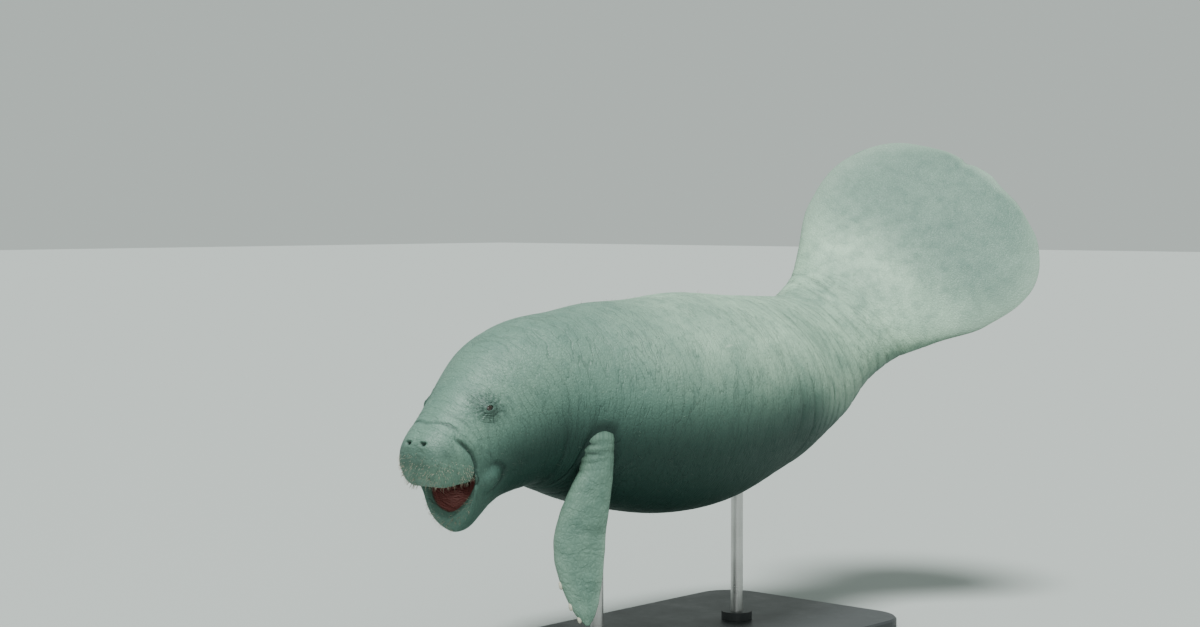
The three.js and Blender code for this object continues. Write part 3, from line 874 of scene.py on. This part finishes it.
# %% Hide colours
# The first colour is painted light on the back and also the pale specks; the third is painted shade below and
# also the dark specks; the fourth is painted shade in creases, wrinkles, pits and round the eye, and also the
# eye's dark patch.
PAINTED_LIGHT_AND_SPECK = (0.370, 0.520, 0.400, 1)
MIDDLE = (0.098, 0.180, 0.148, 1)
SHADE_AND_SPECK_GREEN = (0.014, 0.050, 0.039, 1)
PAINTED_SHADE_GREEN = (0.022, 0.048, 0.042, 1)
RIM_COLOUR = (0.330, 0.430, 0.350, 1)
MOUTH_COLOUR = (0.240, 0.105, 0.095, 1)
SCRATCH_COLOUR = (0.480, 0.560, 0.470, 1)


def wrinkle_lines(material, where, scale, width):
    """Wandering lines where noise crosses its middle value: 0 in the line, 1 away from it."""
    above = maths(material, "SUBTRACT", noise(material, where, scale, 2.5, 0.5), 0.5)
    return spread(material, maths(material, "ABSOLUTE", above), 0.0, width)


def hide_pattern(material):
    """The shared patterns: mottling, specks, rings of wrinkles round the body and a fine irregular net."""
    where = hide_place(material)
    net_place = warped(material, hide_place(material, (1.7, 1, 1)), 38, 0.016)
    fine_place = warped(material, hide_place(material, (1.3, 1, 1)), 90, 0.006)
    return {
        "broad": noise(material, where, 3.4, 5, 0.62),
        "mottle": noise(material, where, 24, 6, 0.65),
        "speck": noise(material, where, 170, 3, 0.6),
        "rings": maths(material, "MAXIMUM", attribute(material, "calm"),
                       wrinkle_lines(material, hide_place(material, (4.2, 1, 1)), 11, 0.050)),
        "net": cells(material, net_place, 84),
        "fine_net": cells(material, fine_place, 230),
        "patchy": noise(material, where, 9, 3, 0.5),
    }


def scratches(material):
    """Short pale scratches that run two ways, in a few places only."""
    streaks = []
    for stretch, turn in ((4.0, (0.2, 0.1, 0.5)), (5.2, (0.1, -0.3, -0.7))):
        where = hide_place(material, (stretch, 170, 90), turn)
        streaks.append(spread(material, noise(material, where, 1.0, 1.5, 0.4), 0.745, 0.775))
    few = spread(material, noise(material, hide_place(material), 4.3, 2), 0.50, 0.62)
    # Scratches show only where light is painted on the top.
    on_lit_top = maths(material, "MULTIPLY", maths(material, "MAXIMUM", *streaks), attribute(material, "pale"))
    return maths(material, "MULTIPLY", on_lit_top, few)


# %% [markdown]
# ## Colours laid over one another
# The hide is painted as a model maker would: a middle green first, pale clouds of painted light on the back,
# darker specks, painted shade below, painted shade in every crease and wrinkle, then the rim, scars, painted
# shade in the pits and round the eye with the eye's dark patch, and the mouth. Each layer is an amount and a
# colour, so the whole finish is one list, and a loop mixes it.

# %% Hide material
def hide_layers(material, pattern):
    """What is laid over the middle green, from first to last: how much of it, and its colour."""
    def own(name, times, clamp=False):
        return maths(material, "MULTIPLY", attribute(material, name), times, clamp)

    # Painted shade in the ring wrinkles, in patches.
    ring_shade = maths(material, "MULTIPLY", spread(material, pattern["rings"], 0.0, 1.0, 0.26, 0.0),
                      spread(material, pattern["patchy"], 0.42, 0.62))
    return [
        # Painted light on the top of the body, in soft clouds.
        (own("pale", spread(material, pattern["broad"], 0.30, 0.66, 0.55, 1.15), clamp=True), PAINTED_LIGHT_AND_SPECK),
        (spread(material, pattern["mottle"], 0.46, 0.74, 0, 0.50), MIDDLE),
        (spread(material, pattern["speck"], 0.60, 0.75, 0, 0.30), SHADE_AND_SPECK_GREEN),
        (spread(material, pattern["speck"], 0.40, 0.28, 0, 0.22), PAINTED_LIGHT_AND_SPECK),
        # Painted shade under the body.
        (own("under", 0.86), SHADE_AND_SPECK_GREEN),
        # Painted shade in the lines of the wrinkle net.
        (spread(material, pattern["net"], 0.0, 0.12, 0.15, 0.0), PAINTED_SHADE_GREEN),
        (ring_shade, PAINTED_SHADE_GREEN),
        # Painted shade in every fold and groove.
        (own("crease_shade", 0.72, clamp=True), PAINTED_SHADE_GREEN),
        (own("rim", 0.60, clamp=True), RIM_COLOUR),
        (maths(material, "MULTIPLY", scratches(material), 0.55), SCRATCH_COLOUR),
        # Painted shade in the nostril pits, round the eye and on the muzzle front, and the dark patch round
        # the eye.
        (own("shade_and_eye_patch", 0.86), PAINTED_SHADE_GREEN),
        (attribute(material, "mouth"), MOUTH_COLOUR),
    ]


def hide_material():
    """The layers mixed in turn, a matte shine that follows the mottling, and fine wrinkled relief."""
    material, shader = new_material("hide")
    pattern = hide_pattern(material)
    colour = MIDDLE
    for amount, tone in hide_layers(material, pattern):
        colour = mix_colour(material, amount, colour, tone)
    relief = bump(material, spread(material, pattern["rings"], 0.0, 1.0), 0.42, 0.0035)
    relief = bump(material, spread(material, pattern["net"], 0.0, 0.30), 0.30, 0.0020, relief)
    relief = bump(material, spread(material, pattern["fine_net"], 0.0, 0.35), 0.25, 0.0009, relief)
    relief = bump(material, pattern["mottle"], 0.40, 0.0045, relief)
    relief = bump(material, pattern["speck"], 0.25, 0.0008, relief)
    dull = spread(material, pattern["mottle"], 0.3, 0.8, 0.46, 0.62)
    values = {"Base Color": colour, "Roughness": dull, "Specular IOR Level": 0.42, "Normal": relief}
    feed(material, shader, values)
    return material


hide = hide_material()
skin.data.materials.append(hide)
print("the hide has", len(hide.node_tree.nodes), "nodes")


# %% [markdown]
# ## Eyes
# A manatee's eye is a dark bead about 25 mm across, mostly hidden by lids that close like a purse. The ball
# is a sphere; rings of colour follow the angle from its outward pole.

# %% Eyeballs
def ball_angles(rows, columns, open_end):
    """Angles from pole to pole, with a small hole left at each for a fan, and angles round the ball."""
    return np.meshgrid(np.linspace(open_end, math.pi - open_end, rows),
                       np.arange(columns) / columns * TURN_ROUND, indexing="ij")


def eye_ball(side, sign):
    """A sphere as rings round its outward pole, with the cornea a little raised."""
    polar, around = ball_angles(30, 40, 0.02)
    radius = EYE_RADIUS + 0.0010 * np.exp(-((polar / 0.55) ** 2))
    centre = np.array([EYE[0], sign * (eye_surface + EYE_PROUD - EYE_RADIUS), EYE[2]])
    local = np.stack([radius * np.sin(polar) * np.cos(around), sign * radius * np.cos(polar),
                      radius * np.sin(polar) * np.sin(around)], -1)
    ball = mesh_object(f"eyeball_{side}", [facing_out(posed(centre + local))])
    set_attribute(ball, "polar", np.concatenate([polar.reshape(-1), [0, math.pi]]))
    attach(ball, "root")
    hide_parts(f"eye_{side}")
    return ball


# %% Eye finish
PUPIL = (0.002, 0.002, 0.002, 1)
IRIS_DARK = (0.012, 0.008, 0.006, 1)
IRIS_LIGHT = (0.040, 0.026, 0.016, 1)
ROUND_THE_IRIS = (0.030, 0.022, 0.018, 1)


def eye_material():
    """Black pupil, brown iris with fine specks and a dark brown band round it, all under a wet coat."""
    material, shader = new_material("wet_eye")
    polar = attribute(material, "polar")
    iris = mix_colour(material, noise(material, object_place(material), 900, 3), IRIS_DARK, IRIS_LIGHT)
    colour = mix_colour(material, spread(material, polar, 0.26, 0.32), PUPIL, iris)
    colour = mix_colour(material, spread(material, polar, 0.62, 0.72), colour, ROUND_THE_IRIS)
    values = {"Base Color": colour, "Roughness": 0.08, "Coat Weight": 1.0, "Coat Roughness": 0.03}
    feed(material, shader, values)
    return material


eye_finish = eye_material()
for side, sign in (("left", -1), ("right", 1)):
    eye_ball(side, sign).data.materials.append(eye_finish)

# %% [markdown]
# ## Nails
# Three flat nails sit on the leading edge near each flipper's tip, pale as horn. Each is a small domed plate,
# thicker at its root, with growth lines across it.

# %% Nail plates
NAIL_SHARES = [0.79, 0.90, 0.965]
NAIL_HALF_LENGTH, NAIL_HALF_WIDTH, NAIL_HALF_THICKNESS = 0.0125, 0.0078, 0.0050
NAIL_SUNK = 0.003


def nail_piece(side, number, share):
    """A flattened egg, squared a little, narrowing to its free end."""
    polar, around = ball_angles(22, 28, 0.03)
    root, along, trailing, through = flipper_axes(side)
    share = np.array(share)
    leading_edge = -chord_at(share) / 2 - sweep_at(share)
    middle = root + share * FLIPPER_LENGTH * along + (NAIL_SUNK + leading_edge) * trailing
    lengthwise = -np.cos(polar)
    lines = 1 + 0.02 * np.sin(lengthwise * 26)
    girth = np.abs(np.sin(polar)) ** 0.75 * (1 - 0.22 * lengthwise) * lines
    local = (lengthwise[..., None] * NAIL_HALF_LENGTH * along
             + (girth * np.cos(around) * NAIL_HALF_WIDTH)[..., None] * trailing
             + (girth * np.sin(around) * NAIL_HALF_THICKNESS)[..., None] * through)
    piece = mesh_object(f"nail_plate_{side}_{number}", [facing_out(middle + local)])
    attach(piece, "root")
    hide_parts(f"nail_{side}_{number}")
    return piece


# %% Horn finish
HORN_PALE = (0.62, 0.60, 0.50, 1)
HORN_DARK = (0.40, 0.40, 0.33, 1)
HORN_STAIN = (0.25, 0.27, 0.22, 1)


def nail_material():
    """Pale horn with faint darker growth lines and a soft shine."""
    material, shader = new_material("horn")
    streaks = noise(material, object_place(material, (40, 40, 260)), 3.0, 4)
    stain = spread(material, noise(material, object_place(material), 60), 0.55, 0.8, 0, 0.5)
    colour = mix_colour(material, spread(material, streaks, 0.35, 0.7), HORN_PALE, HORN_DARK)
    colour = mix_colour(material, stain, colour, HORN_STAIN)
    relief = bump(material, streaks, 0.25, 0.0006)
    feed(material, shader, {"Base Color": colour, "Roughness": 0.38, "Normal": relief})
    return material


horn = nail_material()
for side in FLIPPERS:
    for number, share in enumerate(NAIL_SHARES, 1):
        nail_piece(side, number, share).data.materials.append(horn)


# %% [markdown]
# ## Bristles and sparse hairs
# The lips carry short stiff bristles, with which the animal feels and grips, and single fine hairs stand a
# hand's breadth apart over the body. Both are real thin cones, bent a little, rooted in the skin. Blender's
# own hair would be lost in an export, so the cones are made as one mesh, with few faces each because there
# are many of them.

# %% Many cones at once
HAIR_SIDES, HAIR_RINGS = 3, 4
HAIR_SUNK = 0.12
HAIR_PATCH = 0.003
hair_steps = np.arange(HAIR_RINGS) / HAIR_RINGS


def hair_points(roots, directions, lengths, radii, bend):
    """For each hair, rings of points round a curve that leaves the root in its direction and bends off with
    the square of the distance, ever thinner; then the middle of its foot, and its tip."""
    reference = np.where(np.abs(directions[:, 2:3]) < 0.9, [[0, 0, 1.0]], [[1.0, 0, 0]])
    first = unit(np.cross(directions, reference))
    second = np.cross(directions, first)
    reach = (lengths[:, None] * (hair_steps - HAIR_SUNK))[..., None]
    swerve = (lengths[:, None] * hair_steps**2)[..., None]
    path = roots[:, None] + directions[:, None] * reach + bend[:, None] * swerve
    tip = roots + directions * (lengths * (1 - HAIR_SUNK))[:, None] + bend * lengths[:, None]
    angles = np.arange(HAIR_SIDES)[:, None] / HAIR_SIDES * TURN_ROUND
    circle = first[:, None] * np.cos(angles) + second[:, None] * np.sin(angles)
    girth = radii[:, None] * (1 - 0.75 * hair_steps)
    rings = path[:, :, None] + circle[:, None] * girth[:, :, None, None]
    return np.concatenate([rings.reshape(len(roots), -1, 3), path[:, :1], tip[:, None]], 1)


def lay_out_hairs(piece, unwrap):
    """The bake map: each hair fills a small patch at its own place, its rings one above the other."""
    height = np.concatenate([np.repeat(hair_steps, HAIR_SIDES), [0.0, 1.0]])
    across = np.concatenate([np.tile(np.arange(HAIR_SIDES) / HAIR_SIDES, HAIR_RINGS), [0.5, 0.5]])
    at_point = (unwrap[:, None] + np.stack([across, height], -1) * HAIR_PATCH).reshape(-1, 2)
    corners = np.zeros(len(piece.data.loops), np.int64)
    piece.data.loops.foreach_get("vertex_index", corners)
    layer = piece.data.uv_layers.new(name="OFBake")
    layer.data.foreach_set("uv", at_point[corners].astype(np.float32).ravel())


def hair_piece(name, roots, directions, lengths, radii, bend, unwrap):
    """Many tapered cones in one piece."""
    points = hair_points(roots, directions, lengths, radii, bend)
    starts = (np.arange(len(roots)) * points.shape[1])[:, None, None]
    faces = [(part + starts).reshape(-1, part.shape[1]) for part in grid_faces(HAIR_RINGS, HAIR_SIDES)]
    piece = mesh_object(name, [(points.reshape(-1, 3), *faces)])
    lay_out_hairs(piece, unwrap)
    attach(piece, "root")
    return piece


# %% Roots on the skin
def skin_roots(places, angles):
    """Points of the skin's grid at the asked places, in the next column, with the outward direction there."""
    posed_body = posed(body_points)
    row = np.clip(np.searchsorted(body_rows, places), 1, len(body_rows) - 2)
    column = np.searchsorted(column_angles, angles) % COLUMNS
    mix = np.clip((places - body_rows[row - 1]) / (body_rows[row] - body_rows[row - 1]), 0, 1)[:, None]
    points = posed_body[row - 1, column] * (1 - mix) + posed_body[row, column] * mix
    return points, outward(posed_body)[row, column]


# %% [markdown]
# ## Lip bristles
# They stand thickest on the upper lip pad, with fewer on the lower lip, longer near the mouth, and droop a
# little. Seeded random draws place them, so that each run gives the same ones.

# %% Lip bristles
BRISTLES = 620
PAD_REACH = 0.085
rng = np.random.default_rng(7)
bristle_place = rng.uniform(0.006, PAD_REACH, BRISTLES)
bristle_angle = np.radians(rng.uniform(8, 172, BRISTLES))
lower = rng.random(BRISTLES) < 0.22
bristle_angle = np.where(lower, -np.radians(rng.uniform(25, 155, BRISTLES)) % TURN_ROUND, bristle_angle)
bristle_place = np.where(lower, rng.uniform(0.004, 0.045, BRISTLES), bristle_place)
bristle_roots, bristle_out = skin_roots(bristle_place, bristle_angle)
droop = np.array([-0.15, 0, -0.30]) + rng.normal(0, 0.12, (BRISTLES, 3))
bristle_way = unit(bristle_out + rng.normal(0, 0.16, (BRISTLES, 3)))
near_mouth = 1 - np.clip(bristle_place / PAD_REACH, 0, 1)
bristle_length = rng.uniform(0.006, 0.011, BRISTLES) * (0.6 + 0.8 * near_mouth)
bristle_radius = rng.uniform(0.00045, 0.0007, BRISTLES)
bristle_unwrap = np.stack([bristle_angle / TURN_ROUND, bristle_place / TOTAL_LENGTH * 4], -1)
bristles = hair_piece("lip_bristles", bristle_roots, bristle_way, bristle_length, bristle_radius, droop,
                      bristle_unwrap)

# %% [markdown]
# ## Body hairs
# They feel every touch, so they stand singly all over the body. Each leans back and curves towards the
# tail.

# %% Body hairs
HAIRS = 900
hair_place = rng.uniform(0.10, 2.30, HAIRS)
hair_angle = rng.uniform(0, TURN_ROUND, HAIRS)
hair_roots, hair_out = skin_roots(hair_place, hair_angle)
hair_back = spine_axes(hair_place)[0]
hair_way = unit(hair_out + 0.45 * hair_back + rng.normal(0, 0.25, (HAIRS, 3)))
hair_length = rng.uniform(0.007, 0.016, HAIRS)
hair_radius = rng.uniform(0.00018, 0.00028, HAIRS)
hair_unwrap = np.stack([hair_angle / TURN_ROUND, 0.2 + hair_place / TOTAL_LENGTH * 0.75], -1)
hairs = hair_piece("body_hairs", hair_roots, hair_way, hair_length, hair_radius, 0.35 * hair_back,
                   hair_unwrap)


# %% Hair finish
def hair_material(name, root_colour, tip_colour):
    """A little lighter or darker from hair to hair."""
    material, shader = new_material(name)
    change = spread(material, noise(material, object_place(material), 420, 2), 0.35, 0.65)
    colour = mix_colour(material, change, root_colour, tip_colour)
    feed(material, shader, {"Base Color": colour, "Roughness": 0.45})
    return material


bristles.data.materials.append(hair_material("bristle", (0.30, 0.27, 0.20, 1), (0.55, 0.52, 0.42, 1)))
hairs.data.materials.append(hair_material("fine_hair", (0.16, 0.18, 0.15, 1), (0.30, 0.32, 0.27, 1)))


# %% [markdown]
# ## Stand
# The stand is plain: a flat base with a satin dark paint, two brushed rods and two painted collars. Its
# solids are already right, so they stay, and only get their finish. Paint shows a faint orange peel and some
# dust. Brushed steel shows fine rings round the rod.

# %% Stand finishes
def paint_material():
    """Satin dark paint with a faint orange peel and dust."""
    material, shader = new_material("stand_paint")
    dust = noise(material, object_place(material), 7, 6, 0.7)
    colour = mix_colour(material, spread(material, dust, 0.40, 0.75), (0.045, 0.050, 0.053, 1),
                        (0.075, 0.080, 0.082, 1))
    dull = spread(material, dust, 0.3, 0.7, 0.34, 0.50)
    peel = bump(material, noise(material, object_place(material), 480, 2), 0.12, 0.0006)
    feed(material, shader, {"Base Color": colour, "Roughness": dull, "Normal": peel})
    return material


def steel_material():
    """Brushed steel: rings of fine scratches in colour and relief, and smears that vary the shine."""
    material, shader = new_material("brushed_rod")
    rings = noise(material, object_place(material, (3, 3, 900)), 1.0, 4, 0.7)
    colour = mix_colour(material, spread(material, rings, 0.3, 0.7), (0.50, 0.50, 0.49, 1),
                        (0.66, 0.66, 0.65, 1))
    dull = spread(material, noise(material, object_place(material), 9, 4), 0.3, 0.7, 0.24, 0.40)
    relief = bump(material, rings, 0.15, 0.0004)
    feed(material, shader, {"Base Color": colour, "Metallic": 1.0, "Roughness": dull, "Normal": relief})
    return material


for finish, names in ((paint_material(), ("stand_base", "stand_collar_front", "stand_collar_rear")),
                      (steel_material(), ("stand_rod_front", "stand_rod_rear"))):
    for name in names:
        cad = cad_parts[name]
        cad.data.materials.clear()
        cad.data.materials.append(finish)
    print(finish.name, "on", ", ".join(names))

# %% [markdown]
# ## Floor
# A wide pale floor catches the soft shadow. It is no part of the object.

# %% Floor
FLOOR_HALF = 60.0
floor_corners = [(x * FLOOR_HALF, y * FLOOR_HALF, 0) for x, y in ((-1, -1), (1, -1), (1, 1), (-1, 1))]
floor_mesh = bpy.data.meshes.new("floor")
floor_mesh.from_pydata(floor_corners, [], [(0, 1, 2, 3)])
floor = add_object("floor", floor_mesh)
floor_material, floor_shader = new_material("pale_floor")
feed(floor_material, floor_shader, {"Base Color": (0.40, 0.43, 0.415, 1), "Roughness": 0.85})
floor_mesh.materials.append(floor_material)
print("the floor is", 2 * FLOOR_HALF, "m wide")

# %% [markdown]
# ## Light
# In the photo the light comes softly from above. One broad soft light from high up makes the shape, a weaker
# area light in front opens the shadows of the face, and a pale sky fills the rest.

# %% Lights
SUN_STRENGTH = 3.6
FRONT_WATTS = 45
SKY_STRENGTH = 0.56
FRONT_PLACE, FRONT_AIM = Vector((-4.5, -3.6, 2.6)), Vector((-0.3, 0.0, 0.9))
sun_data = bpy.data.lights.new("high_light", "SUN")
sun_data.energy, sun_data.angle = SUN_STRENGTH, math.radians(20)
sun = add_object("high_light", sun_data)
sun.rotation_euler = Vector((0.30, 0.22, -1.0)).to_track_quat("-Z", "Y").to_euler()
front_data = bpy.data.lights.new("front_light", "AREA")
front_data.shape, front_data.size, front_data.energy = "SQUARE", 2.6, FRONT_WATTS
front = add_object("front_light", front_data)
front.location = FRONT_PLACE
front.rotation_euler = (FRONT_AIM - FRONT_PLACE).to_track_quat("-Z", "Y").to_euler()
world = bpy.data.worlds.new("pale_sky")
world.use_nodes = True
world.node_tree.nodes["Background"].inputs["Color"].default_value = (0.78, 0.86, 0.82, 1)
world.node_tree.nodes["Background"].inputs["Strength"].default_value = SKY_STRENGTH
bpy.context.scene.world = world
print("lights:", sun.name, front.name, world.name)

# %% [markdown]
# ## Camera
# The camera looks from the front left, 5 degrees above level, as the photo does. It is turned so that the
# same point of the belly falls on the same place of the picture. Turning it, and not shifting its picture,
# keeps the lines of sight those of a plain camera.

# %% Camera
FRAME_WIDTH, FRAME_HEIGHT = 1200, 627
CAMERA_AZIMUTH, CAMERA_ELEVATION = math.radians(-50), math.radians(5)
VIEW_ANGLE = math.radians(32)
CAMERA_DISTANCE = 6.34
BELLY_IN_PICTURE = (670, 395)
SENSOR_WIDTH = 36
back = Vector((math.sin(CAMERA_AZIMUTH) * math.cos(CAMERA_ELEVATION),
               -math.cos(CAMERA_AZIMUTH) * math.cos(CAMERA_ELEVATION), math.sin(CAMERA_ELEVATION)))
picture_right = Vector((math.cos(CAMERA_AZIMUTH), math.sin(CAMERA_AZIMUTH), 0))
picture_up = back.cross(picture_right)
metres_a_pixel = CAMERA_DISTANCE * math.tan(VIEW_ANGLE / 2) / (FRAME_WIDTH / 2)
belly = Vector((0, 0, SPINE_HEIGHT))
aside = (BELLY_IN_PICTURE[0] - FRAME_WIDTH / 2) * metres_a_pixel
below = (BELLY_IN_PICTURE[1] - FRAME_HEIGHT / 2) * metres_a_pixel
aim = belly - picture_right * aside + picture_up * below
camera_data = bpy.data.cameras.new("camera")
camera_data.sensor_width = SENSOR_WIDTH
camera_data.lens = SENSOR_WIDTH / 2 / math.tan(VIEW_ANGLE / 2)
camera = add_object("camera", camera_data)
camera.location = belly + back * CAMERA_DISTANCE
camera.rotation_mode = "QUATERNION"
camera.rotation_quaternion = (aim - camera.location).to_track_quat("-Z", "Y")
bpy.context.scene.camera = camera
bpy.context.scene.view_settings.view_transform = "AgX"
bpy.context.scene.view_settings.look = "AgX - Medium High Contrast"
print("camera at", [round(v, 2) for v in camera.location], "with a lens of", round(camera_data.lens, 1), "mm")
